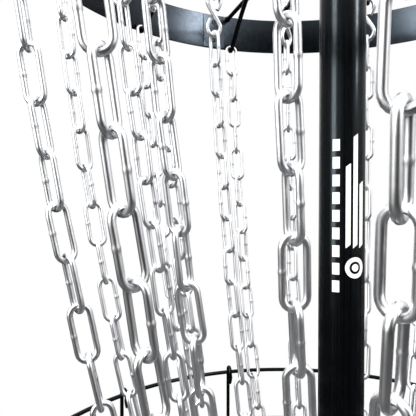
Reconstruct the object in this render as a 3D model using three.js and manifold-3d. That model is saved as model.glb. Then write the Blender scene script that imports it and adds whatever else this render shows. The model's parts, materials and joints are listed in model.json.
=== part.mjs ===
// Portable disc golf basket, in millimetres, +Z up.
// The origin is on the ground, on the pole's axis.
//
// A ring base with four legs holds a two-piece pole. A wire basket is clamped on the pole, a rack of
// rods at its top holds a sheet band, and two rings of chain hang from the rack to a loose lower ring.
// "Turn" is an angle in degrees, clockwise from +Y as seen from above.
import * as THREE from 'three';
import { mergeVertices } from 'three/addons/utils/BufferGeometryUtils.js';
import Module from 'manifold-3d';

// ---------------------------------------------------------------- driving dimensions
const GAP = 0.3; // between pieces that touch

const POLE_R = 19.05;
const POLE_WALL = 1.8;
const POLE_SPLIT_Z = 700;
const POLE_TOP_Z = 1372;
const SPIGOT_LENGTH = 60;
const CAP_HEIGHT = 12;

const RING_R = 265; // base ring, centre of its tube
const TUBE_R = 12; // base ring and legs
const FOOT_THICKNESS = 5; // under the ring
const FOOT_HEIGHT = 15;
const FOOT_LENGTH = 56;
const FOOT_WIDTH = 36;
const LEG_COUNT = 4;
const SOCKET_R = 26;
const SOCKET_BOTTOM_Z = 8;
const SOCKET_FLOOR = 4;
const SOCKET_HEIGHT = 110;

const RIM_R = 332; // basket rim, centre of its wire
const RIM_Z = 820;
const RIM_WIRE = 5.6;
const BASKET_DEPTH = 235;
const RIB_COUNT = 12;
const RIB_TURN = 4;
const RIB_WIRE = 5.2;
const RIB_BEND_R = 30;
const RIB_TIP = 16; // how far the hooked end hangs below the rim
const RIB_INNER_R = 28;
const WALL_HOOP_DROPS = { basket_upper_hoop: 78, basket_lower_hoop: 156 };
const FLOOR_HOOP_RADII = { basket_outer_floor_hoop: 240, basket_inner_floor_hoop: 150 };
const HUB_R = 24.5;
const HUB_FLANGE_R = 62;
const HUB_FLANGE = 4.2;
const HUB_BELOW_FLANGE = 18;
const HUB_ABOVE_FLOOR = 55;

const BAND_R = 277.5; // middle of the sheet
const BAND_SHEET = 2;
const BAND_BOTTOM_Z = 1306;
const BAND_HEIGHT = 47;
const ROD_R = 2.9;
const SPOKE_Z = 1350;
const BRACE_START_R = 208;
const ARM_Z = 1332;
const RACK_HUB_R = 25;
const RACK_HUB_BOTTOM_Z = 1286;
const RACK_HUB_TOP_Z = 1362;

const STRAND_COUNT = 12; // in each ring of chain
const LINK_PITCH = 36.65;
const CHAIN_R = 3.6; // a round bar with the mass of the linked wire
const OUTER_CHAIN = { links: 19, r: 263.5, z: 1303.9, turn: 0, straightTop: 0 };
const INNER_CHAIN = { links: 18, r: 188.5, z: 1289.1, turn: 13.5, straightTop: 34.9 };
const CHAIN_END_R = 80;
const CHAIN_END_Z = 643;
const CHAIN_END_TRIM = 13; // clear of the lower ring's wire
const CHAIN_TOP_TRIM = 8; // clear of the rod it hangs from
const CHAIN_RING_R = 84;
const CHAIN_RING_WIRE = 8;
const CHAIN_RING_DRIFT = [4, 2.3]; // the loose ring rests a little off the pole's axis

const SCREW_R = 4;
const KNOB_R = 14;
const KNOB_THICKNESS = 10;
const KNOB_LOBES = 5;
const BOSS_R = 9;
const BOSS_LENGTH = 8;
const SCREW_LENGTH = 24;
const BASKET_KNOB = { z: 607, turn: 199 };
const RACK_KNOB = { z: 1303, turn: 21 };

// ---------------------------------------------------------------- materials
const blackCoat = new THREE.MeshStandardMaterial({ color: 0x17181a, roughness: 0.45, metalness: 0.2 });
const zinc = new THREE.MeshStandardMaterial({ color: 0xc9cccf, roughness: 0.28, metalness: 1 });
const rubber = new THREE.MeshStandardMaterial({ color: 0x1b1b1c, roughness: 0.85, metalness: 0 });
const plastic = new THREE.MeshStandardMaterial({ color: 0x101113, roughness: 0.5, metalness: 0 });

// ---------------------------------------------------------------- solids
const wasm = await Module();
wasm.setup();

function solid(geometry) {
  const bare = geometry.clone();
  bare.deleteAttribute('normal');
  bare.deleteAttribute('uv');
  const merged = mergeVertices(bare, 1e-4);
  const mesh = new wasm.Mesh({
    numProp: 3,
    vertProperties: new Float32Array(merged.attributes.position.array),
    triVerts: new Uint32Array(merged.index.array),
  });
  return new wasm.Manifold(mesh);
}

function geometryOf(manifold) {
  const mesh = manifold.getMesh();
  const geometry = new THREE.BufferGeometry();
  geometry.setAttribute('position', new THREE.BufferAttribute(mesh.vertProperties, 3));
  geometry.setIndex(new THREE.BufferAttribute(mesh.triVerts, 1));
  geometry.computeVertexNormals();
  return geometry;
}

function join(geometries) {
  const parts = geometries.map(solid);
  return geometryOf(parts.reduce((sum, part) => sum.add(part)));
}

function cut(geometry, tools) {
  const parts = tools.map(solid);
  return geometryOf(parts.reduce((rest, part) => rest.subtract(part), solid(geometry)));
}

// A point at radius r, height z and a turn about the pole.
function polar(r, z, turn) {
  const angle = THREE.MathUtils.degToRad(turn);
  return new THREE.Vector3(r * Math.sin(angle), r * Math.cos(angle), z);
}

// A curve whose samples are exactly the listed points.
class PointPath extends THREE.Curve {
  constructor(points) {
    super();
    this.points = points;
  }

  getPoint(t) {
    const position = t * (this.points.length - 1);
    const i = Math.min(Math.floor(position), this.points.length - 2);
    return this.points[i].clone().lerp(this.points[i + 1], position - i);
  }

  getPointAt(u) {
    return this.getPoint(u);
  }

  getTangentAt(u) {
    const i = Math.round(u * (this.points.length - 1));
    const before = this.points[Math.max(i - 1, 0)];
    const after = this.points[Math.min(i + 1, this.points.length - 1)];
    return after.clone().sub(before).normalize();
  }
}

function regularPolygon(radius, sides) {
  const corner = (i) => ((i + 0.5) / sides) * 2 * Math.PI;
  const points = Array.from({ length: sides }, (_, i) => (
    new THREE.Vector2(radius * Math.cos(corner(i)), radius * Math.sin(corner(i)))));
  return new THREE.Shape(points);
}

function rod(points, radius, sides = 6) {
  return new THREE.ExtrudeGeometry(regularPolygon(radius, sides), {
    steps: points.length - 1,
    extrudePath: new PointPath(points),
  });
}

// A solid of revolution about the pole's axis, from a closed outline of [r, z] corners.
function turned(outline, segments) {
  const corners = outline[0][0] > 0 ? [...outline, outline[0]] : outline;
  const profile = corners.map(([r, z]) => new THREE.Vector2(r, z));
  return new THREE.LatheGeometry(profile, segments).rotateX(Math.PI / 2);
}

function sleeve(innerR, outerR, bottomZ, topZ, segments = 28) {
  const outline = [[innerR, bottomZ], [outerR, bottomZ], [outerR, topZ], [innerR, topZ]];
  return turned(outline, segments);
}

function hoop(radius, wireR, z, segments, sides = 6) {
  return new THREE.TorusGeometry(radius, wireR, sides, segments).translate(0, 0, z);
}

// A cylinder along a radius of the pole, from one distance to another.
function radialBar(radius, fromR, toR, z, turn, sides = 12) {
  return rod([polar(fromR, z, turn), polar(toR, z, turn)], radius, sides);
}

// ---------------------------------------------------------------- assembly
const basket = new THREE.Group();

function addPiece(name, geometry, material) {
  const mesh = new THREE.Mesh(geometry, material);
  mesh.name = name;
  basket.add(mesh);
}

function numbered(name, index) {
  return `${name}_${String(index + 1).padStart(2, '0')}`;
}

// ---------------------------------------------------------------- base
const RING_Z = FOOT_THICKNESS + GAP + TUBE_R;

function addBase() {
  const cup = [
    [0, SOCKET_BOTTOM_Z],
    [SOCKET_R, SOCKET_BOTTOM_Z],
    [SOCKET_R, SOCKET_BOTTOM_Z + SOCKET_HEIGHT],
    [POLE_R + GAP, SOCKET_BOTTOM_Z + SOCKET_HEIGHT],
    [POLE_R + GAP, SOCKET_BOTTOM_Z + SOCKET_FLOOR],
    [0, SOCKET_BOTTOM_Z + SOCKET_FLOOR],
  ];
  addPiece('base_socket', turned(cup, 28), blackCoat);
  addPiece('base_ring', hoop(RING_R, TUBE_R, RING_Z, 40, 8), blackCoat);
  const ringRoom = hoop(RING_R, TUBE_R + GAP, RING_Z, 40, 8);
  const socketRoom = sleeve(1, SOCKET_R + GAP, 0, SOCKET_HEIGHT);
  for (let i = 0; i < LEG_COUNT; i += 1) {
    const between = 360 / LEG_COUNT;
    const leg = radialBar(TUBE_R, SOCKET_R - 4, RING_R - 4, RING_Z, (i + 0.5) * between);
    addPiece(numbered('base_leg', i), cut(leg, [ringRoom, socketRoom]), blackCoat);
    addPiece(numbered('foot', i), foot(i * between, ringRoom), rubber);
  }
}

function foot(turn, ringRoom) {
  const halfLength = FOOT_LENGTH / 2;
  const halfWidth = FOOT_WIDTH / 2;
  const outline = new THREE.Shape();
  outline.moveTo(-halfLength + halfWidth, -halfWidth);
  outline.lineTo(halfLength - halfWidth, -halfWidth);
  outline.absarc(halfLength - halfWidth, 0, halfWidth, -Math.PI / 2, Math.PI / 2);
  outline.lineTo(-halfLength + halfWidth, halfWidth);
  outline.absarc(-halfLength + halfWidth, 0, halfWidth, Math.PI / 2, 1.5 * Math.PI);
  const block = new THREE.ExtrudeGeometry(outline, {
    depth: FOOT_HEIGHT, bevelEnabled: false, curveSegments: 6,
  });
  block.translate(0, RING_R, 0).rotateZ(-THREE.MathUtils.degToRad(turn));
  return cut(block, [ringRoom]);
}

// ---------------------------------------------------------------- pole
function addPole() {
  const inner = POLE_R - POLE_WALL;
  const spigotR = inner - GAP;
  const spigotInner = spigotR - POLE_WALL;
  const bottom = SOCKET_BOTTOM_Z + SOCKET_FLOOR + GAP;
  const split = POLE_SPLIT_Z;
  const lower = [
    [inner, bottom], [POLE_R, bottom], [POLE_R, split], [spigotR, split],
    [spigotR, split + SPIGOT_LENGTH], [spigotInner, split + SPIGOT_LENGTH],
    [spigotInner, split - 4], [inner, split - 8],
  ];
  addPiece('lower_pole', turned(lower, 28), blackCoat);
  addPiece('upper_pole', sleeve(inner, POLE_R, split + GAP, POLE_TOP_Z), blackCoat);
  const seat = POLE_TOP_Z + GAP;
  const plugR = inner - GAP;
  const cap = [
    [0, seat - 14], [plugR, seat - 14], [plugR, seat], [POLE_R, seat],
    [POLE_R, seat + 0.4 * CAP_HEIGHT], [0.72 * POLE_R, seat + 0.85 * CAP_HEIGHT], [0, seat + CAP_HEIGHT],
  ];
  addPiece('pole_cap', turned(cap, 28), plastic);
}

// ---------------------------------------------------------------- wire basket
const FLOOR_Z = RIM_Z - BASKET_DEPTH;
const WIRE_STEP = RIB_WIRE + GAP; // centre to centre of two crossing wires

// An arc in the plane of one rib, from and to angles in quarter turns, 0 pointing away from the pole.
function arcPoints(centreR, centreZ, radius, from, to, turn, steps) {
  return Array.from({ length: steps + 1 }, (_, i) => {
    const angle = (from + (to - from) * (i / steps)) * Math.PI / 2;
    return polar(centreR + radius * Math.cos(angle), centreZ + radius * Math.sin(angle), turn);
  });
}

function rib(turn) {
  const hookR = (RIM_WIRE + RIB_WIRE) / 2 + 2 * GAP;
  const wallR = RIM_R + hookR;
  const points = [
    polar(RIM_R - hookR, RIM_Z - RIB_TIP, turn),
    ...arcPoints(RIM_R, RIM_Z, hookR, 2, 0, turn, 6),
    ...arcPoints(wallR - RIB_BEND_R, FLOOR_Z + RIB_BEND_R, RIB_BEND_R, 0, -1, turn, 4),
    polar(RIB_INNER_R, FLOOR_Z, turn),
  ];
  return rod(points, RIB_WIRE / 2);
}

function addBasket() {
  addPiece('basket_rim', hoop(RIM_R, RIM_WIRE / 2, RIM_Z, 48), blackCoat);
  for (let i = 0; i < RIB_COUNT; i += 1) {
    addPiece(numbered('basket_rib', i), rib(RIB_TURN + i * 360 / RIB_COUNT), blackCoat);
  }
  const wallHoopR = RIM_R + RIM_WIRE / 2 - RIB_WIRE / 2 - 0.2;
  for (const [name, drop] of Object.entries(WALL_HOOP_DROPS)) {
    addPiece(name, hoop(wallHoopR, RIB_WIRE / 2, RIM_Z - drop, 48), blackCoat);
  }
  for (const [name, radius] of Object.entries(FLOOR_HOOP_RADII)) {
    addPiece(name, hoop(radius, RIB_WIRE / 2, FLOOR_Z + WIRE_STEP, 36), blackCoat);
  }
  const flangeTop = FLOOR_Z - RIB_WIRE / 2 - GAP;
  const flangeBottom = flangeTop - HUB_FLANGE;
  const bore = POLE_R + GAP;
  const hub = [
    [bore, flangeBottom - HUB_BELOW_FLANGE], [HUB_R, flangeBottom - HUB_BELOW_FLANGE],
    [HUB_R, flangeBottom], [HUB_FLANGE_R, flangeBottom], [HUB_FLANGE_R, flangeTop],
    [HUB_R, flangeTop], [HUB_R, FLOOR_Z + HUB_ABOVE_FLOOR], [bore, FLOOR_Z + HUB_ABOVE_FLOOR],
  ];
  addPiece('basket_hub', withScrewBoss([turned(hub, 28)], HUB_R, BASKET_KNOB), blackCoat);
  addPiece('basket_knob', clampKnob(BASKET_KNOB), plastic);
}

// ---------------------------------------------------------------- clamp screws
// A sleeve with a boss on its side, bored through to the pole for the clamp screw.
function withScrewBoss(geometries, sleeveR, { z, turn }) {
  const boss = radialBar(BOSS_R, sleeveR - 3, sleeveR + BOSS_LENGTH, z, turn);
  const hole = radialBar(SCREW_R + GAP, 10, sleeveR + 2 * BOSS_LENGTH, z, turn);
  const poleRoom = sleeve(1, POLE_R + GAP, z - 4 * BOSS_R, z + 4 * BOSS_R);
  return cut(join([...geometries, boss]), [hole, poleRoom]);
}

function clampKnob({ z, turn }) {
  const outline = new THREE.Shape();
  const corners = 6 * KNOB_LOBES;
  for (let i = 0; i < corners; i += 1) {
    const angle = (i / corners) * 2 * Math.PI;
    const radius = KNOB_R - 2 + 2 * Math.cos(KNOB_LOBES * angle);
    const point = [radius * Math.cos(angle), radius * Math.sin(angle)];
    if (i === 0) outline.moveTo(...point);
    else outline.lineTo(...point);
  }
  const start = POLE_R + 2 * GAP;
  const head = new THREE.ExtrudeGeometry(outline, {
    steps: 1,
    extrudePath: new PointPath([
      polar(start + SCREW_LENGTH, z, turn), polar(start + SCREW_LENGTH + KNOB_THICKNESS, z, turn),
    ]),
  });
  const screw = radialBar(SCREW_R, start, start + SCREW_LENGTH + 2, z, turn, 10);
  return join([head, screw]);
}

// ---------------------------------------------------------------- chain rack and band
function addRack() {
  const bandInner = BAND_R - BAND_SHEET / 2;
  const band = sleeve(bandInner, bandInner + BAND_SHEET, BAND_BOTTOM_Z, BAND_BOTTOM_Z + BAND_HEIGHT, 72);
  addPiece('chain_band', band, blackCoat);
  const pieces = [sleeve(POLE_R + GAP, RACK_HUB_R, RACK_HUB_BOTTOM_Z, RACK_HUB_TOP_Z)];
  const rodStartR = RACK_HUB_R - 3;
  const bandContactR = bandInner - GAP;
  const seatZ = OUTER_CHAIN.z - ROD_R; // the dip in each brace that a chain hangs in
  for (let i = 0; i < STRAND_COUNT; i += 1) {
    const turn = OUTER_CHAIN.turn + i * 360 / STRAND_COUNT;
    pieces.push(radialBar(ROD_R, rodStartR, bandContactR, SPOKE_Z, turn, 6));
    const brace = [
      polar(BRACE_START_R, SPOKE_Z, turn),
      polar(OUTER_CHAIN.r - 8.5, seatZ + 7, turn),
      polar(OUTER_CHAIN.r - 3, seatZ + 1.6, turn),
      polar(OUTER_CHAIN.r + 2, seatZ, turn),
      polar(OUTER_CHAIN.r + 7, seatZ + 4.2, turn),
      polar(bandContactR - 3, BAND_BOTTOM_Z + 3.2, turn),
      polar(bandContactR, BAND_BOTTOM_Z + 3.2, turn),
    ];
    pieces.push(rod(brace, ROD_R));
    const armTurn = INNER_CHAIN.turn + i * 360 / STRAND_COUNT;
    const arm = [
      polar(rodStartR, ARM_Z, armTurn),
      polar(INNER_CHAIN.r - 4, ARM_Z, armTurn),
      polar(INNER_CHAIN.r + 3, ARM_Z + 2, armTurn),
      polar(INNER_CHAIN.r + 6, ARM_Z + 9, armTurn),
    ];
    pieces.push(rod(arm, ROD_R));
  }
  addPiece('chain_rack', withScrewBoss(pieces, RACK_HUB_R, RACK_KNOB), blackCoat);
  addPiece('rack_knob', clampKnob(RACK_KNOB), plastic);
}

// ---------------------------------------------------------------- chains
// The catenary of a given length that hangs between two points, sampled from its lower end, in steps
// of equal length, leaving out the trims at its ends.
function hangingPoints(low, high, length, lowTrim, highTrim, steps) {
  const across = new THREE.Vector2(high.x - low.x, high.y - low.y);
  const span = across.length();
  const rise = high.z - low.z;
  const slack = Math.sqrt(length ** 2 - rise ** 2);
  let [small, large] = [5, 5000];
  for (let i = 0; i < 60; i += 1) {
    const middle = Math.sqrt(small * large);
    if (2 * middle * Math.sinh(span / (2 * middle)) > slack) small = middle;
    else large = middle;
  }
  const scale = small;
  const start = Math.asinh(rise / slack) - span / (2 * scale);
  return Array.from({ length: steps + 1 }, (_, i) => {
    const run = lowTrim + (length - lowTrim - highTrim) * (i / steps);
    const u = Math.asinh(Math.sinh(start) + run / scale);
    const out = scale * (u - start) / span;
    const up = scale * (Math.cosh(u) - Math.cosh(start));
    return new THREE.Vector3(low.x + across.x * out, low.y + across.y * out, low.z + up);
  });
}

function strand({ links, r, z, straightTop }, turn) {
  const [driftX, driftY] = CHAIN_RING_DRIFT;
  const low = polar(CHAIN_END_R, CHAIN_END_Z, turn).add(new THREE.Vector3(driftX, driftY, 0));
  const high = polar(r, z, turn);
  const topTrim = straightTop > 0 ? 0 : CHAIN_TOP_TRIM;
  const points = hangingPoints(low, high, links * LINK_PITCH, CHAIN_END_TRIM, topTrim, 11);
  if (straightTop > 0) points.push(polar(r, z + straightTop, turn));
  return rod(points, CHAIN_R);
}

function addChains() {
  for (const [name, chain] of Object.entries({ chain_outer: OUTER_CHAIN, chain_inner: INNER_CHAIN })) {
    for (let i = 0; i < STRAND_COUNT; i += 1) {
      addPiece(numbered(name, i), strand(chain, chain.turn + i * 360 / STRAND_COUNT), zinc);
    }
  }
  const ring = hoop(CHAIN_RING_R, CHAIN_RING_WIRE / 2, CHAIN_END_Z, 32);
  addPiece('chain_ring', ring.translate(CHAIN_RING_DRIFT[0], CHAIN_RING_DRIFT[1], 0), zinc);
}

addBase();
addPole();
addBasket();
addRack();
addChains();

export default basket;
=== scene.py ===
"""Disc golf basket: the visual model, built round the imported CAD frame, in metres.

"Turn" is an angle in degrees, clockwise from +Y as seen from above, as in the CAD part.
"""
import json
import math
import random

import bpy
import numpy as np
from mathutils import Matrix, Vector


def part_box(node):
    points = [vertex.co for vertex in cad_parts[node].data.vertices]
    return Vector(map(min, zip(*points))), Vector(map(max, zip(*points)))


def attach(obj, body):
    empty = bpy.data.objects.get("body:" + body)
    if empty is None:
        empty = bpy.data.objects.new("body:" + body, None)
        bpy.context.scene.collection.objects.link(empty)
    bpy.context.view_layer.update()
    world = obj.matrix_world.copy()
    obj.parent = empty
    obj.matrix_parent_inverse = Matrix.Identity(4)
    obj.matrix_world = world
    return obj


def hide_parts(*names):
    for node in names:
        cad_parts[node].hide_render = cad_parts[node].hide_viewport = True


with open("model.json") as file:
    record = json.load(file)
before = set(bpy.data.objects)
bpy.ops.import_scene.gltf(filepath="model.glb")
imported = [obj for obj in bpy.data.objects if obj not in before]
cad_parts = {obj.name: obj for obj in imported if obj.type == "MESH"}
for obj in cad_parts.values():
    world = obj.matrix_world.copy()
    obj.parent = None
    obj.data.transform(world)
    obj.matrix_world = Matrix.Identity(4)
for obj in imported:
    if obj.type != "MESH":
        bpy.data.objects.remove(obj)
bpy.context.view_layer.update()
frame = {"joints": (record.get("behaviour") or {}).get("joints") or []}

MM = 0.001
JOINTS = {joint["child"]: joint for joint in frame["joints"]}

# ---------------------------------------------------------------- sizes
POLE_R = 19.05 * MM
LINK_PITCH = 36.65 * MM
LINK_WIRE_R = 2.12 * MM
LINK_HALF_WIDTH = 6.95 * MM  # to the middle of the wire
CHAIN_LINKS = {"outer": 19, "inner": 18}
CHAIN_END_R = 80 * MM
RING_WIRE_R = 4 * MM
RING_R = 84 * MM
HOOK_DROP = 39.9 * MM  # from the arm to the first link of an inner chain
HOOK_WIRE_R = 2.4 * MM
ARM_Z = 1332 * MM
BRACE_END_Z = 1309.2 * MM
ROD_R = 2.9 * MM
RIM_WIRE_R = 2.8 * MM
RIB_WIRE_R = 2.6 * MM
STRANDS = 12

TUBE_WALL = 1.8 * MM
BORE_R = POLE_R + 0.3 * MM  # of the sleeves that slide on the pole
SPOKE_Z = 1350 * MM
RACK_HUB_R = 25 * MM
BAND_SHEET = 2 * MM
BAND_SEAM_TURN = -31.3
BAND_LAP = 6.5  # degrees
BASKET_HUB_R = 24.5 * MM
FLANGE_R = 62 * MM
FLANGE_TOP_Z = 582.1 * MM
FLANGE_HEIGHT = 4.2 * MM
BASKET_FLOOR_Z = 585 * MM
RIB_BEND_R = 30 * MM
RIB_END_R = 28 * MM  # the inner ends, on the flange
FIRST_RIB_TURN = 4
BASE_RING_R = 265 * MM
BASE_TUBE_R = 12 * MM
SOCKET_R = 26 * MM
LEGS = 4
FIRST_LEG_TURN = 45
FOOT_HALF_LENGTH = 28 * MM
FOOT_HALF_WIDTH = 18 * MM

WIRE_SIDES = 14
AXIS_R = 0.25 * MM  # an outline point this near the axis counts as on it


# ---------------------------------------------------------------- vectors
def polar(r, z, turn):
    angle = math.radians(turn)
    return np.array([r * math.sin(angle), r * math.cos(angle), z])


def unit(vector):
    return vector / np.linalg.norm(vector)


def square_to(axis):
    """Two unit vectors square to an axis and to each other."""
    side = unit(np.cross(axis, [0.3, 0.2, 1] if abs(axis[2]) < 0.9 else [0, 1, 0]))
    return side, np.cross(axis, side)


def turn_of(point):
    return math.degrees(math.atan2(point[0], point[1]))


def middle(node):
    low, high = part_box(node)
    return np.array((low + high) / 2)


def ring_path(radius, z, steps=240):
    angle = np.arange(steps) * 2 * math.pi / steps
    return np.stack([radius * np.sin(angle), radius * np.cos(angle), 0 * angle + z], -1)


def frames_along(points, closed, across=None):
    """Two unit vectors square to the path at each point, which don't twist along it."""
    if closed:
        tangents = np.roll(points, -1, 0) - np.roll(points, 1, 0)
    else:
        tangents = np.gradient(points, axis=0)
    tangents /= np.linalg.norm(tangents, axis=1)[:, None]
    if across is None:
        across = np.eye(3)[np.argmin(np.abs(tangents[0]))]
    sides = []
    for tangent in tangents:
        across = unit(across - tangent * np.dot(across, tangent))
        sides.append(across)
    sides = np.array(sides)
    return sides, np.cross(tangents, sides)


def smooth_path(points, steps):
    """A Catmull-Rom curve through the points, with that many steps between each two."""
    points = np.array(points, float)
    padded = np.vstack([2 * points[0] - points[1], points, 2 * points[-1] - points[-2]])
    path = []
    for i in range(1, len(padded) - 2):
        p0, p1, p2, p3 = padded[i - 1:i + 3]
        for t in np.arange(steps) / steps:
            path.append(0.5 * (2 * p1 + (p2 - p0) * t + (2 * p0 - 5 * p1 + 4 * p2 - p3) * t ** 2
                               + (3 * p1 - p0 - 3 * p2 + p3) * t ** 3))
    return np.array(path + [points[-1]])


# ---------------------------------------------------------------- mesh
class Shape:
    """One piece, gathered from wires, turned parts and weld beads. Each point has a weld mark, 0 to 1."""

    def __init__(self):
        self.points = []
        self.faces = []
        self.marks = []
        self.count = 0

    def add(self, points, faces, marks=None):
        self.faces += (np.asarray(faces) + self.count).tolist() if len(faces) else []
        self.points.append(np.asarray(points, float))
        self.marks.append(np.zeros(len(points)) if marks is None else marks)
        self.count += len(points)

    def grid(self, rings, wrap_rings, marks=None, caps=True):
        """Quads between rings of points, an array of rings by points by 3. Each ring closes on itself."""
        rows, columns = rings.shape[:2]
        last = rows if wrap_rings else rows - 1
        i, j = np.meshgrid(np.arange(last), np.arange(columns), indexing="ij")
        up, along = (i + 1) % rows, (j + 1) % columns
        quads = np.stack([i * columns + j, i * columns + along, up * columns + along, up * columns + j], -1)
        start = self.count
        self.add(rings.reshape(-1, 3), quads.reshape(-1, 4), marks)
        if caps and not wrap_rings:
            self.faces.append([start + k for k in range(columns)][::-1])
            self.faces.append([start + (rows - 1) * columns + k for k in range(columns)])

    def wire(self, path, radius, sides=WIRE_SIDES, closed=False, across=None, marks=None):
        """A wire round a path.

        radius is one number, or one for each point, or two for each: one along across and one square to it.
        """
        path = np.asarray(path, float)
        radius = np.asarray(radius, float)
        if radius.ndim < 2:
            radius = np.repeat(np.broadcast_to(radius, len(path))[:, None], 2, 1)
        side, other = frames_along(path, closed, across)
        angle = np.arange(sides) * 2 * math.pi / sides
        first = (side * radius[:, :1])[:, None] * np.cos(angle)[:, None]
        second = (other * radius[:, 1:])[:, None] * np.sin(angle)[:, None]
        each = None if marks is None else np.repeat(marks, sides)
        self.grid(path[:, None] + first + second, closed, each)

    def turned(self, outline, segments, origin=(0, 0, 0), axis=(0, 0, 1), lobes=0, depth=0):
        """A solid of revolution from an outline of (r, height). Lobes wave its radius.

        The outline is closed, or it runs from near the axis back to it and the two ends are capped.
        """
        axis = unit(np.array(axis, float))
        side, other = square_to(axis)
        angle = np.arange(segments) * 2 * math.pi / segments
        out = side * np.cos(angle)[:, None] + other * np.sin(angle)[:, None]
        radii = np.array([r for r, _ in outline])
        heights = np.array([h for _, h in outline])
        wave = 1 + depth * np.cos(lobes * angle)
        rings = np.array(origin) + out[:, None] * (wave[:, None] * radii)[:, :, None]
        rings = rings + axis * heights[None, :, None]
        if max(radii[0], radii[-1]) <= AXIS_R:
            self.grid(rings.transpose(1, 0, 2), False)
        else:
            self.grid(rings[::-1], True)

    def bead(self, centre, axis, ring_r, size, seed, arc=(0, 360)):
        """A lumpy weld bead round an axis."""
        draw = random.Random(seed)
        axis = unit(np.array(axis, float))
        side, other = square_to(axis)
        steps = max(10, int(ring_r * math.radians(arc[1] - arc[0]) / (0.7 * size)))
        whole = arc[1] - arc[0] >= 360
        angle = np.radians(np.linspace(arc[0], arc[1], steps, endpoint=not whole))
        path = np.array(centre) + ring_r * (side * np.cos(angle)[:, None] + other * np.sin(angle)[:, None])
        radii = np.array([size * (0.86 + 0.28 * draw.random()) for _ in angle])
        if not whole:
            radii[0] = radii[-1] = 0.35 * size
        self.wire(path, radii, 8, closed=whole, across=axis, marks=np.ones(len(path)))

    def build(self, name, material, body, slot, *replaced, sharp=38):
        mesh = bpy.data.meshes.new(name)
        mesh.from_pydata(np.concatenate(self.points).tolist(), [], self.faces)
        mesh.polygons.foreach_set("use_smooth", [True] * len(mesh.polygons))
        mesh.set_sharp_from_angle(angle=math.radians(sharp))
        weld = mesh.attributes.new("weld", "FLOAT", "POINT")
        weld.data.foreach_set("value", np.concatenate(self.marks).astype(np.float32))
        mesh.materials.append(material)
        mesh.validate()
        piece = bpy.data.objects.new(name, mesh)
        bpy.context.scene.collection.objects.link(piece)
        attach(piece, body)
        if replaced:
            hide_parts(*replaced)
        return piece


def softened(outline, radius, steps=3):
    """A closed outline of (r, height) corners with each corner rounded, but for those at the axis."""
    corners = [np.array(corner, float) for corner in outline]
    rounded = []
    for i, corner in enumerate(corners):
        if corner[0] <= AXIS_R:
            rounded.append(corner)
            continue
        before, after = corners[i - 1] - corner, corners[(i + 1) % len(corners)] - corner
        reach = min(radius, 0.45 * np.linalg.norm(before), 0.45 * np.linalg.norm(after))
        start, end = corner + unit(before) * reach, corner + unit(after) * reach
        for t in np.linspace(0, 1, steps + 1):
            rounded.append((1 - t) ** 2 * start + 2 * t * (1 - t) * corner + t ** 2 * end)
    return [tuple(point) for point in rounded]


# ---------------------------------------------------------------- materials
class Finish:
    """A node material with the few steps that the finishes here share."""

    def __init__(self, name, metallic, specular=0.5):
        self.material = bpy.data.materials.new(name)
        self.material.use_nodes = True
        self.tree = self.material.node_tree
        self.shader = self.tree.nodes["Principled BSDF"]
        self.shader.inputs["Metallic"].default_value = metallic
        self.shader.inputs["Specular IOR Level"].default_value = specular
        self.where = self.tree.nodes.new("ShaderNodeTexCoord").outputs["Object"]

    def link(self, output, socket):
        self.tree.links.new(output, socket)

    def noise(self, scale, detail=2, roughness=0.5):
        node = self.tree.nodes.new("ShaderNodeTexNoise")
        node.inputs["Scale"].default_value = scale
        node.inputs["Detail"].default_value = detail
        node.inputs["Roughness"].default_value = roughness
        self.link(self.where, node.inputs["Vector"])
        return node.outputs["Fac"]

    def ramp(self, value, low, high, colours):
        node = self.tree.nodes.new("ShaderNodeValToRGB")
        node.color_ramp.elements[0].position = low
        node.color_ramp.elements[1].position = high
        for element, colour in zip(node.color_ramp.elements, colours):
            element.color = (*colour, 1) if hasattr(colour, "__len__") else (colour, colour, colour, 1)
        self.link(value, node.inputs["Fac"])
        return node.outputs["Color"]

    def mix(self, factor, first, second):
        node = self.tree.nodes.new("ShaderNodeMix")
        node.data_type = "RGBA"
        self.link(factor, node.inputs["Factor"])
        self.link(first, node.inputs["A"])
        if hasattr(second, "__len__"):
            node.inputs["B"].default_value = (*second, 1)
        else:
            self.link(second, node.inputs["B"])
        return node.outputs["Result"]

    def weld(self):
        node = self.tree.nodes.new("ShaderNodeAttribute")
        node.attribute_name = "weld"
        return node.outputs["Fac"]

    def bump(self, heights, strength, distance):
        """Bumps from several heights, one on the other."""
        normal = None
        for height, much, far in zip(heights, strength, distance):
            node = self.tree.nodes.new("ShaderNodeBump")
            node.inputs["Strength"].default_value = much
            node.inputs["Distance"].default_value = far
            self.link(height, node.inputs["Height"])
            if normal is not None:
                self.link(normal, node.inputs["Normal"])
            normal = node.outputs["Normal"]
        self.link(normal, self.shader.inputs["Normal"])

    def colour(self, output):
        self.link(output, self.shader.inputs["Base Color"])

    def roughness(self, output):
        self.link(output, self.shader.inputs["Roughness"])


def powder_coat(name, specular, rough, tint):
    """Semi-gloss black powder coat: near black, with a fine orange peel and faint cloudiness."""
    finish = Finish(name, 0, specular)
    finish.shader.inputs["Specular Tint"].default_value = (*tint, 1)
    cloud = finish.noise(14, 3)
    peel = finish.noise(950, 2)
    finish.colour(finish.ramp(cloud, 0.3, 0.75, [(0.0003, 0.0003, 0.0004), (0.0009, 0.0010, 0.0011)]))
    finish.roughness(finish.ramp(finish.noise(160, 4), 0.3, 0.72, rough))
    finish.bump([peel, finish.noise(240, 2)], [0.08, 0.06], [0.0002, 0.0006])
    return finish.material


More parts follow.
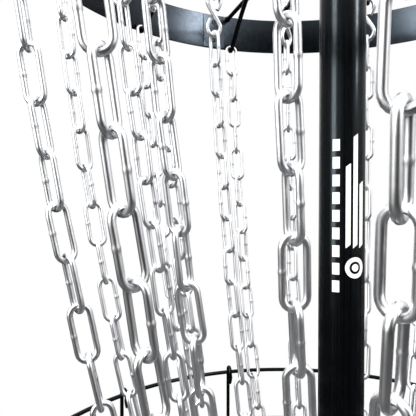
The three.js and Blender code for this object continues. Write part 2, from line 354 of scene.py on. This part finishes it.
def zinc():
    """Bright zinc plate on drawn wire, duller and rougher at the welds."""
    finish = Finish("zinc_plate", 1)
    patches = finish.ramp(finish.noise(55, 4), 0.32, 0.7, [(0.82, 0.83, 0.85), (0.95, 0.96, 0.97)])
    weld = finish.weld()
    finish.colour(finish.mix(weld, patches, (0.46, 0.46, 0.47)))
    # Any smoother, and the denoiser takes what a thin wire mirrors for detail, and breaks it into dashes.
    smooth = finish.ramp(finish.noise(160, 2), 0.3, 0.75, [0.276, 0.29])
    finish.roughness(finish.mix(weld, smooth, (0.42, 0.42, 0.42)))
    finish.bump([finish.noise(220, 2)], [0.04], [0.0005])
    return finish.material


def moulded(name, dark, light, rough, grain, strength, specular=0.16):
    """Moulded rubber or plastic with a fine grain."""
    finish = Finish(name, 0, specular)
    finish.colour(finish.ramp(finish.noise(30, 3), 0.3, 0.7, [dark, light]))
    finish.roughness(finish.ramp(finish.noise(220, 3), 0.3, 0.7, rough))
    finish.bump([finish.noise(grain, 3)], [strength], [0.0003])
    return finish.material


def vinyl():
    """Thin white film."""
    finish = Finish("white_vinyl", 0, 0.4)
    finish.colour(finish.ramp(finish.noise(40, 3), 0.3, 0.7, [(0.80, 0.80, 0.80), (0.90, 0.90, 0.89)]))
    finish.roughness(finish.ramp(finish.noise(300, 3), 0.3, 0.7, [0.28, 0.40]))
    finish.bump([finish.noise(900, 2)], [0.06], [0.0002])
    return finish.material


COAT = powder_coat("black_powder_coat", 0.15, [0.17, 0.24], (0.74, 0.90, 1.0))
SHEET_COAT = powder_coat("black_powder_coat_on_sheet", 0.32, [0.22, 0.28], (0.66, 0.82, 1.0))
ZINC = zinc()
RUBBER = moulded("black_rubber", (0.012, 0.012, 0.012), (0.022, 0.022, 0.021), [0.62, 0.8], 700, 0.35)
PLASTIC = moulded("black_plastic", (0.008, 0.008, 0.009), (0.014, 0.014, 0.015), [0.38, 0.5], 1100, 0.22)
VINYL = vinyl()


def coated(shape, name, *replaced, body="root"):
    return shape.build(name, COAT, body, "black_powder_coat", *replaced)


# ---------------------------------------------------------------- chains
def hanging(low, high, length, distances):
    """Points of the catenary of that length between two points, at distances along it from low."""
    across = np.array([high[0] - low[0], high[1] - low[1], 0])
    span, rise = np.linalg.norm(across), high[2] - low[2]
    slack = math.sqrt(length ** 2 - rise ** 2)
    small, large = 0.005, 5.0
    for _ in range(60):
        scale = math.sqrt(small * large)
        if 2 * scale * math.sinh(span / (2 * scale)) > slack:
            small = scale
        else:
            large = scale
    start = math.asinh(rise / slack) - span / (2 * scale)
    u = np.arcsinh(math.sinh(start) + np.asarray(distances) / scale)
    out = (scale * (u - start) / span)[:, None] * across
    up = (scale * (np.cosh(u) - math.cosh(start)))[:, None] * np.array([0, 0, 1])
    return np.array(low) + out + up


def link_rings(draw):
    """The rings of points of one welded link, long axis Z, width X, its weld on one long side."""
    bend = np.linspace(0, math.pi, 11)
    straight = (LINK_PITCH + 2 * LINK_WIRE_R) / 2 - LINK_HALF_WIDTH
    weld_at = draw.uniform(-1.2, 1.2) * MM
    side = np.array([-9, -5.2, -2.6, -1.7, -0.9, 0, 0.9, 1.7, 2.6, 5.2, 9]) * MM
    path, bumps, marks = [], [], []
    for z in weld_at + side:
        path.append((LINK_HALF_WIDTH, z))
        near = (z - weld_at) / (1.25 * MM)
        bumps.append(math.exp(-near ** 2))
        marks.append(math.exp(-(0.75 * near) ** 2))
    for angle in bend:
        path.append((LINK_HALF_WIDTH * math.cos(angle), straight + LINK_HALF_WIDTH * math.sin(angle)))
    for z in np.linspace(0.6, -0.6, 4) * straight:
        path.append((-LINK_HALF_WIDTH, z))
    for angle in bend:
        path.append((-LINK_HALF_WIDTH * math.cos(angle), -straight - LINK_HALF_WIDTH * math.sin(angle)))
    rest = len(path) - len(bumps)
    bumps = np.array(bumps + [0] * rest) * draw.uniform(0.09, 0.2)
    marks = np.array(marks + [0] * rest)
    centres = np.array([(x, 0, z) for x, z in path])
    tangents = np.roll(centres, -1, 0) - np.roll(centres, 1, 0)
    tangents /= np.linalg.norm(tangents, axis=1)[:, None]
    binormal = np.array([0.0, 1, 0])
    normals = np.cross(binormal, tangents)
    angle = np.arange(WIRE_SIDES) * 2 * math.pi / WIRE_SIDES
    around = normals[:, None] * np.cos(angle)[:, None] + binormal * np.sin(angle)[:, None]
    radii = LINK_WIRE_R * (1 + bumps)
    if draw.random() < 0.5:
        centres[:, 0] *= -1
        around[:, :, 0] *= -1
        around = around[:, ::-1]
    return centres[:, None] + around * radii[:, None, None], np.repeat(marks, WIRE_SIDES)


def link_chain(shape, joints, first_across, extra_turns, draw):
    """Links between the joints. first_across is the first link's width direction."""
    for i in range(len(joints) - 1):
        along = unit(joints[i + 1] - joints[i])
        width = unit(first_across - along * np.dot(first_across, along))
        other = np.cross(along, width)
        angle = math.radians(90 * i + extra_turns[i])
        x = width * math.cos(angle) + other * math.sin(angle)
        y = np.cross(along, x)
        rings, marks = link_rings(draw)
        placed = rings @ np.array([x, y, along]) + (joints[i] + joints[i + 1]) / 2
        shape.grid(placed, True, marks)


# One loop of an S-hook, from the middle of the hook to its cut end: (across, down).
HOOK_LOOP = ((2.7, 4.3), (5.6, 9.2), (7.6, 14.2), (7.0, 19.2), (3.9, 23.6), (-0.3, 25.1), (-4.6, 23.2),
             (-7.4, 18.4), (-7.4, 13.6), (-5.7, 9.0), (-3.9, 5.4))
HOOK_TURNS = {0: 0, 10: 26, 11: -34}  # how far a few of the hooks have turned on their arms, in degrees


def s_hook(top, turn):
    """A closed S-hook that hangs from an arm. Its plane faces about along the arm."""
    upper, lower = ARM_Z + ROD_R + HOOK_WIRE_R, top[2] - HOOK_DROP - LINK_WIRE_R
    scale = (upper - lower) / 2 / max(down for _, down in HOOK_LOOP)
    down_loop = [(0, 0), *HOOK_LOOP]
    outline = [(-x, -down) for x, down in reversed(HOOK_LOOP)] + down_loop
    across, centre = polar(1, 0, turn + 90), np.array([top[0], top[1], (upper + lower) / 2])
    points = [centre + across * x * MM - np.array([0, 0, down * scale]) for x, down in outline]
    shape = Shape()
    shape.wire(smooth_path(points, 5), HOOK_WIRE_R, 12, across=polar(1, 0, turn))
    return shape


# The links from and to which a strand turns by a quarter, and which way.
TWISTS = {"outer_07": (2, 14, 1), "outer_08": (0, 5.5, 1), "outer_09": (0.5, 8.5, 1),
          "outer_10": (0, 9.5, 1), "inner_07": (0, 10, 1), "inner_08": (0, 17, -1),
          "inner_09": (-2, 10, 1), "inner_11": (8, 17, 1)}


def twists(strand, count, draw):
    start, end, way = TWISTS.get(strand, (draw.uniform(0, 2), draw.uniform(9, 15), 1))
    steps = np.clip((np.arange(count) - start) / (end - start), 0, 1)
    return 90 * way * steps + np.array([draw.uniform(-6, 6) for _ in range(count)])


def build_chain(kind, index):
    strand = f"{kind}_{index + 1:02d}"
    name = f"chain_{strand}"
    draw = random.Random(strand)
    top = np.array(JOINTS[name]["pos_m"])
    turn = turn_of(top)
    if kind == "inner":
        hook_turn = HOOK_TURNS.get(index, draw.uniform(-25, 25))
        s_hook(top, turn + hook_turn).build(f"s_hook_{index + 1:02d}", ZINC, name, "zinc_plate")
        top = top - np.array([0, 0, HOOK_DROP])
    count = CHAIN_LINKS[kind]
    length = count * LINK_PITCH
    ring_wire = middle("chain_ring") + polar(RING_R, 0, turn)
    low = middle("chain_ring") + polar(CHAIN_END_R, 0, turn)
    for _ in range(3):
        first, second = hanging(low, top, length, [0, LINK_PITCH])
        low = ring_wire - RING_WIRE_R * unit(second - first)
    joints = hanging(low, top, length, np.arange(count + 1) * LINK_PITCH)[::-1]
    for i in range(1, count):
        joints[i] += [draw.uniform(-0.5, 0.5) * MM, draw.uniform(-0.5, 0.5) * MM, 0]
    radial, tangent = polar(1, 0, turn), polar(1, 0, turn + 90)
    first_across = tangent if kind == "outer" else radial
    shape = Shape()
    link_chain(shape, joints, first_across, twists(strand, count, draw), draw)
    shape.build(f"links_{strand}", ZINC, name, "zinc_plate", name)


def build_chain_ring():
    steps = 120
    path = middle("chain_ring") + ring_path(RING_R, 0, steps)
    angle = np.arange(steps) * 2 * math.pi / steps
    weld = np.exp(-((angle - 2.2) * RING_R / (2 * MM)) ** 2)
    shape = Shape()
    shape.wire(path, RING_WIRE_R * (1 + 0.12 * weld), 16, closed=True, across=(0, 0, 1), marks=weld)
    shape.build("lower_ring", ZINC, "root", "zinc_plate", "chain_ring")


# ---------------------------------------------------------------- chain rack and band
def build_rack():
    low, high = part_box("chain_rack")
    band_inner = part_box("chain_band")[1].x - BAND_SHEET
    shape = Shape()
    hub = [(BORE_R, low.z), (RACK_HUB_R, low.z), (RACK_HUB_R, high.z), (BORE_R, high.z)]
    shape.turned(softened(hub, 1.2 * MM), 72)
    for i in range(STRANDS):
        top = np.array(JOINTS[f"chain_outer_{i + 1:02d}"]["pos_m"])
        turn, r, z = turn_of(top), math.hypot(top[0], top[1]), top[2]
        spoke = [polar(RACK_HUB_R - 1.5 * MM, SPOKE_Z, turn), polar(band_inner - 0.3 * MM, SPOKE_Z, turn)]
        shape.wire(np.linspace(*spoke, 6), ROD_R)
        seat = z - ROD_R
        brace = [(208 * MM, SPOKE_Z), (232 * MM, SPOKE_Z - 19.5 * MM), (r - 8.5 * MM, seat + 7 * MM),
                 (r - 3 * MM, seat + 1.6 * MM), (r + 2 * MM, seat), (r + 7 * MM, seat + 4.2 * MM),
                 (band_inner - 3 * MM, BRACE_END_Z), (band_inner - 0.3 * MM, BRACE_END_Z)]
        path = smooth_path([polar(a, b, turn) for a, b in brace], 6)
        shape.wire(path, ROD_R)
        shape.bead(polar(207.5 * MM, SPOKE_Z - 0.6 * MM, turn), (0, 0, 1), 1.8 * MM, 2.2 * MM, i)
        for height in (SPOKE_Z, BRACE_END_Z):
            shape.bead(polar(band_inner - 0.9 * MM, height, turn), polar(1, 0, turn), 2.9 * MM, 1.0 * MM, i)
        shape.bead(polar(RACK_HUB_R, SPOKE_Z, turn), polar(1, 0, turn), 3.1 * MM, 1.2 * MM, i + 50)
    for i in range(STRANDS):
        top = np.array(JOINTS[f"chain_inner_{i + 1:02d}"]["pos_m"])
        turn, r, z = turn_of(top), math.hypot(top[0], top[1]), ARM_Z
        arm = [(RACK_HUB_R - 1.5 * MM, z), (0.5 * r, z), (r - 8 * MM, z), (r - 1 * MM, z + 0.3 * MM),
               (r + 3 * MM, z + 2.6 * MM), (r + 5.4 * MM, z + 8.8 * MM)]
        path = smooth_path([polar(a, b, turn) for a, b in arm], 5)
        shape.wire(path, ROD_R)
        shape.bead(polar(RACK_HUB_R, z, turn), polar(1, 0, turn), 3.1 * MM, 1.2 * MM, i + 70)
    knob_boss(shape, "rack_knob", RACK_HUB_R)
    coated(shape, "rack", "chain_rack")


def build_band():
    low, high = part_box("chain_band")
    outer, inner = high.x, high.x - BAND_SHEET
    sheet = softened([(inner, low.z), (outer, low.z), (outer, high.z), (inner, high.z)], 0.8 * MM)
    shape = Shape()
    shape.turned(sheet, 288)
    bottom, top = low.z + 1.5 * MM, high.z - 1.5 * MM
    rows = np.radians(np.linspace(BAND_SEAM_TURN - BAND_LAP, BAND_SEAM_TURN, 12))
    section = [(inner + 0.2 * MM, bottom), (inner + 0.2 * MM, top), (inner - 1.1 * MM, top),
               (inner - 1.1 * MM, bottom)]
    rings = np.array([[(r * math.sin(a), r * math.cos(a), z) for r, z in section] for a in rows])
    shape.grid(rings, False)
    seam_middle = BAND_SEAM_TURN - BAND_LAP / 2
    for z in (low.z + 11 * MM, high.z - 11 * MM):
        shape.bead(polar(inner - 1.2 * MM, z, seam_middle), polar(1, 0, seam_middle), 2.2 * MM, 0.9 * MM, 9)
    shape.build("band", SHEET_COAT, "root", "black_powder_coat", "chain_band")


# ---------------------------------------------------------------- clamp screws
def knob_boss(shape, knob, sleeve_r):
    """The round boss on a sleeve that the knob's screw goes through."""
    joint = JOINTS[knob]
    pivot = np.array(joint["pos_m"])
    out = unit(np.array(joint["axis"]))
    foot = np.array([0, 0, pivot[2]])
    boss = [(4.3 * MM, sleeve_r - 2 * MM), (9 * MM, sleeve_r - 2 * MM), (9 * MM, sleeve_r + 8 * MM),
            (4.3 * MM, sleeve_r + 8 * MM)]
    shape.turned(softened(boss, 0.7 * MM), 40, foot, out)
    shape.bead(foot + out * (sleeve_r + 0.2 * MM), out, 9.2 * MM, 1.5 * MM, 3)


def build_knob(node):
    joint = JOINTS[node]
    pivot = np.array(joint["pos_m"])
    out = unit(np.array(joint["axis"]))
    start = POLE_R + 0.6 * MM
    foot = np.array([0, 0, pivot[2]])
    screw = Shape()
    thread = [(0.2 * MM, start), (3.1 * MM, start), (3.8 * MM, start + 1 * MM)]
    turns = 13
    for i in range(turns):
        at = start + (2 + 1.5 * i) * MM
        thread += [(3.95 * MM, at), (3.45 * MM, at + 0.75 * MM)]
    thread += [(3.9 * MM, start + 24 * MM), (0.2 * MM, start + 24 * MM)]
    screw.turned(thread, 28, foot, out)
    screw.build(f"{node}_screw", ZINC, node, "zinc_plate")
    head = [(0.2 * MM, 23.6), (7.5 * MM, 23.6), (8.5 * MM, 24.2), (12.6 * MM, 25.2), (13.2 * MM, 26.4),
            (13.2 * MM, 30.6), (12.4 * MM, 32.4), (9.5 * MM, 33.3), (4 * MM, 33.6), (0.2 * MM, 33.6)]
    shape = Shape()
    outline = softened([(r, start + h * MM) for r, h in head], 1.2 * MM)
    shape.turned(outline, 90, foot, out, lobes=5, depth=0.075)
    shape.build(f"{node}_head", PLASTIC, node, "black_plastic", node)


# ---------------------------------------------------------------- pole
def build_pole():
    low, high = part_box("upper_pole")
    inner = POLE_R - TUBE_WALL
    upper = Shape()
    tube = [(inner, low.z), (POLE_R, low.z), (POLE_R, high.z), (inner, high.z)]
    upper.turned(softened(tube, 0.5 * MM), 96)
    coated(upper, "pole_upper", "upper_pole")
    split, bottom, top = low.z - 0.3 * MM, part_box("lower_pole")[0].z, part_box("lower_pole")[1].z
    spigot = inner - 0.3 * MM
    lower = Shape()
    tube = [(inner, bottom), (POLE_R, bottom), (POLE_R, split), (spigot, split), (spigot, top),
            (spigot - TUBE_WALL, top), (spigot - TUBE_WALL, split - 4 * MM), (inner, split - 8 * MM)]
    lower.turned(softened(tube, 0.5 * MM), 96)
    coated(lower, "pole_lower", "lower_pole")
    low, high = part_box("pole_cap")
    seat = high.z - 12 * MM
    cap = [(0.1 * MM, low.z), (spigot, low.z), (spigot, seat), (POLE_R, seat), (POLE_R, seat + 3.4 * MM),
           (18 * MM, seat + 6.4 * MM), (14.5 * MM, seat + 9.3 * MM), (9 * MM, seat + 11.3 * MM),
           (0.1 * MM, high.z)]
    shape = Shape()
    shape.turned(softened(cap, 1.2 * MM), 72)
    shape.build("cap", PLASTIC, "root", "black_plastic", "pole_cap")


# ---------------------------------------------------------------- white graphic on the pole
GRAPHIC_TURN = 184.6


def wrapped(shape, outline_rows, closed=False):
    """A thin film on the pole. Each row is points of (distance round the pole, height)."""
    inner, outer = POLE_R + 0.03 * MM, POLE_R + 0.13 * MM
    rows = np.array(outline_rows, float)

    def on_pole(radius):
        angle = np.radians(GRAPHIC_TURN) - rows[:, :, 0] / POLE_R
        return np.stack([radius * np.sin(angle), radius * np.cos(angle), rows[:, :, 1]], -1)

    section = np.concatenate([on_pole(outer), on_pole(inner)[:, ::-1]], 1)
    shape.grid(section, closed)


def film_bar(shape, left, right, bottom, top, slant=0.0):
    heights = np.linspace(bottom, top, 8)
    across = np.linspace(0, 1, 7)
    wrapped(shape, [[(left + (right - left) * a, h + slant * a) for a in across] for h in heights])


def film_ring(shape, centre, height, outer, inner):
    """A ring, or a disc where inner is 0."""
    steps = 48
    radii = np.linspace(max(inner, 0.02 * MM), outer, 4)
    rows = []
    for angle in np.arange(steps) * 2 * math.pi / steps:
        rows.append([(centre + r * math.cos(angle), height + r * math.sin(angle)) for r in radii])
    wrapped(shape, rows, True)


def build_graphic():
    """A flying-disc roundel with speed bars, running up the pole."""
    shape = Shape()
    film_ring(shape, 11.5 * MM, 1036 * MM, 8.6 * MM, 5.2 * MM)
    film_ring(shape, 11.5 * MM, 1036 * MM, 3.0 * MM, 0)
    for left, top in ((3.2, 1118), (9.4, 1142), (15.6, 1104)):
        film_bar(shape, left * MM, (left + 4) * MM, 1052 * MM, top * MM, 3 * MM)
    for i in range(9):
        bottom = 1016 + 14.4 * i
        film_bar(shape, -7.4 * MM, -1.6 * MM, bottom * MM, (bottom + 9.4) * MM)
    shape.build("pole_graphic", VINYL, "root", "white_vinyl")


# ---------------------------------------------------------------- wire basket
def build_hoop(node, name, wire_r, seed):
    low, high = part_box(node)
    radius, z = (high.x - low.x) / 2 - wire_r, (low.z + high.z) / 2
    shape = Shape()
    path = ring_path(radius, z)
    weld = np.exp(-((np.arange(len(path)) - 31 * seed % len(path)) / 0.9) ** 2)
    shape.wire(path, wire_r * (1 + 0.13 * weld), WIRE_SIDES, True, (0, 0, 1), marks=weld)
    coated(shape, name, node)
    return radius, z


def build_rib(index, crossings):
    node = f"basket_rib_{index + 1:02d}"
    turn = FIRST_RIB_TURN + index * 360 / STRANDS
    rim_low, rim_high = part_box("basket_rim")
    rim_r, rim_z = rim_high.x - RIM_WIRE_R, (rim_low.z + rim_high.z) / 2
    hook_r = RIM_WIRE_R + RIB_WIRE_R + 0.6 * MM
    wall_r, floor_z, bend = rim_r + hook_r, BASKET_FLOOR_Z, RIB_BEND_R
    # The flattened tip of the hook, in mm: how far under the rim, half its width, half its thickness.
    tip = [(16.8, 1.2, 1.1), (15, 2.1, 1.5), (10.5, 3.1, 1.8), (6.5, 3.6, 2.2), (2.5, 3.0, 2.5)]
    path = [(rim_r - hook_r, rim_z - down * MM) for down, _, _ in tip]
    for angle in np.linspace(math.pi, 0, 11):
        rise = 1.25 if 0 < angle < math.pi else 1
        path.append((rim_r + hook_r * math.cos(angle), rim_z + rise * hook_r * math.sin(angle)))
    path += [(wall_r, z) for z in np.linspace(rim_z - 5 * MM, floor_z + bend + 5 * MM, 14)]
    for angle in np.linspace(0, -math.pi / 2, 9):
        path.append((wall_r - bend + bend * math.cos(angle), floor_z + bend + bend * math.sin(angle)))
    path += [(r, floor_z) for r in np.linspace(wall_r - bend - 8 * MM, RIB_END_R, 16)]
    radii = np.full((len(path), 2), RIB_WIRE_R)
    radii[:len(tip)] = np.array([(wide, thin) for _, wide, thin in tip]) * MM
    shape = Shape()
    shape.wire([polar(r, z, turn) for r, z in path], radii, across=polar(1, 0, turn + 90))
    for r, z, axis in crossings:
        along = polar(1, 0, turn) if axis == "r" else (0, 0, 1)
        shape.bead(polar(r, z, turn), along, 2.3 * MM, 1.1 * MM, index)
    coated(shape, f"rib_{index + 1:02d}", node)


def build_basket():
    rim_r, rim_z = build_hoop("basket_rim", "rim", RIM_WIRE_R, 3)
    crossings = [(rim_r + 2.6 * MM, rim_z - 0.5 * MM, "r")]
    for i, node in enumerate(("basket_upper_hoop", "basket_lower_hoop")):
        radius, z = build_hoop(node, node.replace("basket_", ""), RIB_WIRE_R, 4 + i)
        crossings.append((radius + 2.3 * MM, z, "r"))
    for i, node in enumerate(("basket_outer_floor_hoop", "basket_inner_floor_hoop")):
        radius, z = build_hoop(node, node.replace("basket_", ""), RIB_WIRE_R, 7 + i)
        crossings.append((radius, z - 2.3 * MM, "z"))
    for i in range(STRANDS):
        build_rib(i, crossings)
    low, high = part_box("basket_hub")
    hub_r, top, bottom = BASKET_HUB_R, FLANGE_TOP_Z, FLANGE_TOP_Z - FLANGE_HEIGHT
    outline = [(BORE_R, low.z), (hub_r, low.z), (hub_r, bottom), (FLANGE_R, bottom),
               (FLANGE_R, top), (hub_r, top), (hub_r, high.z), (BORE_R, high.z)]
    shape = Shape()
    shape.turned(softened(outline, 1.1 * MM), 96)
    for height in (top + 0.3 * MM, bottom - 0.3 * MM):
        shape.bead((0, 0, height), (0, 0, 1), hub_r + 0.6 * MM, 1.7 * MM, 17)
    knob_boss(shape, "basket_knob", hub_r)
    coated(shape, "hub", "basket_hub")


# ---------------------------------------------------------------- base
def build_base():
    ring_low, ring_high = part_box("base_ring")
    ring_z = (ring_low.z + ring_high.z) / 2
    path = ring_path(BASE_RING_R, ring_z, 200)
    weld = np.exp(-((np.arange(len(path)) - 37) / 0.8) ** 2)
    shape = Shape()
    shape.wire(path, BASE_TUBE_R * (1 + 0.03 * weld), 28, True, (0, 0, 1), marks=weld)
    coated(shape, "base_hoop", "base_ring")
    low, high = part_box("base_socket")
    floor = low.z + 4 * MM
    cup = [(0.1 * MM, low.z), (SOCKET_R, low.z), (SOCKET_R, high.z), (BORE_R, high.z), (BORE_R, floor),
           (0.1 * MM, floor)]
    shape = Shape()
    shape.turned(softened(cup, 1.2 * MM), 80)
    for i in range(LEGS):
        turn = FIRST_LEG_TURN + 90 * i
        out = polar(1, 0, turn)
        shape.bead(polar(SOCKET_R - 0.2 * MM, ring_z, turn), out, BASE_TUBE_R + 0.3 * MM, 2.0 * MM, i)
    coated(shape, "socket", "base_socket")
    for i in range(LEGS):
        build_leg(i, ring_z)
        build_foot(i, ring_z)


def build_leg(index, ring_z):
    turn = FIRST_LEG_TURN + 90 * index
    ring_inner = BASE_RING_R - BASE_TUBE_R
    ends = [polar(SOCKET_R - 1.5 * MM, ring_z, turn), polar(ring_inner + 2.5 * MM, ring_z, turn)]
    leg = Shape()
    leg.wire(np.linspace(*ends, 12), BASE_TUBE_R, 32)
    bead_at = polar(ring_inner + 1.2 * MM, ring_z, turn)
    leg.bead(bead_at, polar(1, 0, turn), BASE_TUBE_R - 0.6 * MM, 2.0 * MM, index)
    coated(leg, f"leg_{index + 1:02d}", f"base_leg_{index + 1:02d}")


def build_foot(index, ring_z):
    """A rubber saddle under the ring, with round ends and a soft upper edge."""
    turn = 90 * index
    node = f"foot_{index + 1:02d}"
    low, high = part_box(node)
    out, sideways = polar(1, 0, turn), polar(1, 0, turn + 90)
    steps = 18
    rings = []
    for s in np.linspace(-1, 1, 33):
        along = FOOT_HALF_LENGTH * s
        inset = max(0.0, abs(along) - (FOOT_HALF_LENGTH - FOOT_HALF_WIDTH))
        half = math.sqrt(max(FOOT_HALF_WIDTH ** 2 - inset ** 2, (1.2 * MM) ** 2))
        centre_r = math.sqrt(BASE_RING_R ** 2 - along ** 2)
        row = []
        for k in range(steps + 1):
            x = -half + 2 * half * k / steps
            groove_squared = (BASE_TUBE_R + 0.5 * MM) ** 2 - (BASE_RING_R + x - centre_r) ** 2
            groove = math.sqrt(max(groove_squared, 0))
            z = min(high.z, ring_z - groove) if groove > 0 else high.z
            edge = 1.6 * MM * max(0.0, 1 - (half - abs(x)) / (1.8 * MM)) ** 2
            row.append((x, max(z - edge, low.z + 1.5 * MM)))
        row += [(half, low.z + 0.8 * MM), (half - 0.8 * MM, low.z), (-half + 0.8 * MM, low.z),
                (-half, low.z + 0.8 * MM)]
        rings.append([out * (BASE_RING_R + x) + sideways * along + np.array([0, 0, z]) for x, z in row])
    shape = Shape()
    shape.grid(np.array(rings)[::-1], False)
    shape.build(f"rubber_foot_{index + 1:02d}", RUBBER, "root", "black_rubber", node)


# ---------------------------------------------------------------- stage, lights and camera
CAMERA_TURN = 184.64
CAMERA_R = 0.3977
CAMERA_Z = 1.0907
CAMERA_HEADING = -11.99
CAMERA_PITCH = -0.95
CAMERA_LENS = 38.72
FLOOR_R = 1.8


def build_camera():
    data = bpy.data.cameras.new("camera")
    data.lens = CAMERA_LENS
    data.sensor_width = 36
    data.clip_start = 0.01
    camera = bpy.data.objects.new("camera", data)
    bpy.context.scene.collection.objects.link(camera)
    camera.location = Vector(polar(CAMERA_R, CAMERA_Z, CAMERA_TURN))
    camera.rotation_euler = (math.radians(90 + CAMERA_PITCH), 0, -math.radians(CAMERA_HEADING))
    bpy.context.scene.camera = camera


def softbox(name, turn, distance, z, width, height, power, aim_z):
    data = bpy.data.lights.new(name, "AREA")
    data.shape = "RECTANGLE"
    data.size, data.size_y = width, height
    data.energy = power
    light = bpy.data.objects.new(name, data)
    bpy.context.scene.collection.objects.link(light)
    light.location = Vector(polar(distance, z, turn))
    aim = Vector((0, 0, aim_z)) - light.location
    light.rotation_euler = aim.to_track_quat("-Z", "Y").to_euler()
    light.visible_camera = False


def build_stage():
    shape = Shape()
    rim = ring_path(FLOOR_R, 0, 128)
    rows = np.array([rim * (t, t, 1) for t in np.linspace(0.001, 1, 12)])
    shape.grid(rows, False, caps=False)
    finish = Finish("pale_floor", 0, 0.2)
    pale = finish.ramp(finish.noise(3, 3), 0.3, 0.7, [(0.74, 0.74, 0.74), (0.78, 0.78, 0.78)])
    # Painted shade: shiny parts see the floor near black, while the camera and diffuse light see it pale.
    # This darkens what the lower chain links mirror.
    mirrored = finish.tree.nodes.new("ShaderNodeLightPath").outputs["Is Glossy Ray"]
    finish.colour(finish.mix(mirrored, pale, (0.03, 0.03, 0.03)))
    finish.roughness(finish.ramp(finish.noise(20, 3), 0.3, 0.7, [0.7, 0.8]))
    mesh = bpy.data.meshes.new("floor")
    mesh.from_pydata(np.concatenate(shape.points).tolist(), [], shape.faces)
    mesh.materials.append(finish.material)
    floor = bpy.data.objects.new("floor", mesh)
    bpy.context.scene.collection.objects.link(floor)


class WorldNodes:
    """The few node steps that the studio's surroundings need."""

    def __init__(self, tree):
        self.tree = tree

    def calculate(self, operation, *inputs):
        node = self.tree.nodes.new("ShaderNodeMath")
        node.operation = operation
        for socket, value in zip(node.inputs, inputs):
            self.feed(socket, value)
        return node.outputs[0]

    def feed(self, socket, value):
        if isinstance(value, (int, float)):
            socket.default_value = value
        else:
            self.tree.links.new(value, socket)

    def steps(self, value, levels):
        """Grey levels that run smoothly through (position, level) pairs."""
        node = self.tree.nodes.new("ShaderNodeValToRGB")
        ramp = node.color_ramp
        ramp.interpolation = "EASE"
        while len(ramp.elements) < len(levels):
            ramp.elements.new(0.5)
        for element, (position, level) in zip(ramp.elements, levels):
            element.position = position
            element.color = (level, level, level, 1)
        self.tree.links.new(value, node.inputs["Fac"])
        return node.outputs["Color"]

    def mix(self, factor, first, second):
        node = self.tree.nodes.new("ShaderNodeMix")
        node.data_type = "FLOAT"
        for name, value in (("Factor", factor), ("A", first), ("B", second)):
            self.feed(node.inputs[name], value)
        return node.outputs["Result"]


# What shiny parts mirror, by angle clockwise from the way the camera faces.
ROUND = ((-180, 0.03), (-168, 0.05), (-155, 1.0), (-112, 1.0), (-98, 0.28), (-40, 0.2), (-26, 1.0),
         (24, 1.0), (38, 0.45), (92, 0.45), (104, 1.0), (136, 1.0), (148, 0.15), (160, 0.03))
# The same by height, as the sine of the angle above the horizon.
HEIGHT = ((-1.0, 0.0), (-0.5, 0.0), (-0.38, 0.01), (-0.29, 0.03), (-0.2, 0.15), (-0.12, 0.65),
          (-0.05, 1.05), (0.0, 1.2), (0.12, 1.4), (0.3, 1.5), (1.0, 1.6))
OVERHEAD = ((-1.0, 0.0), (0.3, 0.0), (0.6, 1.0))


def build_world():
    """White all round for the camera. Shiny parts see flags at the sides and a darker floor."""
    world = bpy.data.worlds.new("studio")
    bpy.context.scene.world = world
    world.use_nodes = True
    tree = world.node_tree
    tool = WorldNodes(tree)
    where = tree.nodes.new("ShaderNodeTexCoord")
    turned = tree.nodes.new("ShaderNodeVectorRotate")
    turned.rotation_type = "Z_AXIS"
    turned.inputs["Angle"].default_value = math.radians(CAMERA_HEADING)
    tree.links.new(where.outputs["Generated"], turned.inputs["Vector"])
    split = tree.nodes.new("ShaderNodeSeparateXYZ")
    tree.links.new(turned.outputs["Vector"], split.inputs["Vector"])
    right, ahead, up = split.outputs
    angle = tool.calculate("ARCTAN2", right, ahead)
    turn = tool.calculate("MULTIPLY_ADD", angle, 0.5 / math.pi, 0.5)
    height = tool.calculate("MULTIPLY_ADD", up, 0.5, 0.5)
    round_level = tool.steps(turn, [((degrees + 180) / 360, level) for degrees, level in ROUND])
    height_level = tool.steps(height, [((sine + 1) / 2, level) for sine, level in HEIGHT])
    overhead = tool.steps(height, [((sine + 1) / 2, level) for sine, level in OVERHEAD])
    shiny = tool.calculate("MULTIPLY", tool.mix(overhead, round_level, 1.0), height_level)
    seen = tree.nodes.new("ShaderNodeLightPath")
    level = tool.mix(seen.outputs["Is Camera Ray"], shiny, 1.0)
    tree.links.new(level, tree.nodes["Background"].inputs["Color"])


build_camera()
build_stage()
build_world()
softbox("strip_left", turn=225, distance=1.5, z=1.62, width=0.46, height=1.7, power=60, aim_z=1.1)
softbox("strip_right", turn=108.6, distance=1.5, z=2.25, width=0.3, height=1.1, power=45, aim_z=1.1)

for chain in range(STRANDS):
    build_chain("outer", chain)
    build_chain("inner", chain)
build_chain_ring()
build_rack()
build_band()
build_knob("rack_knob")
build_knob("basket_knob")
build_pole()
build_graphic()
build_basket()
build_base()

scene = bpy.context.scene
scene.view_settings.view_transform = "Standard"
# Thin bright wires mirror the strips: without a limit they glitter.
scene.cycles.sample_clamp_direct = 1.6
scene.cycles.sample_clamp_indirect = 1.2
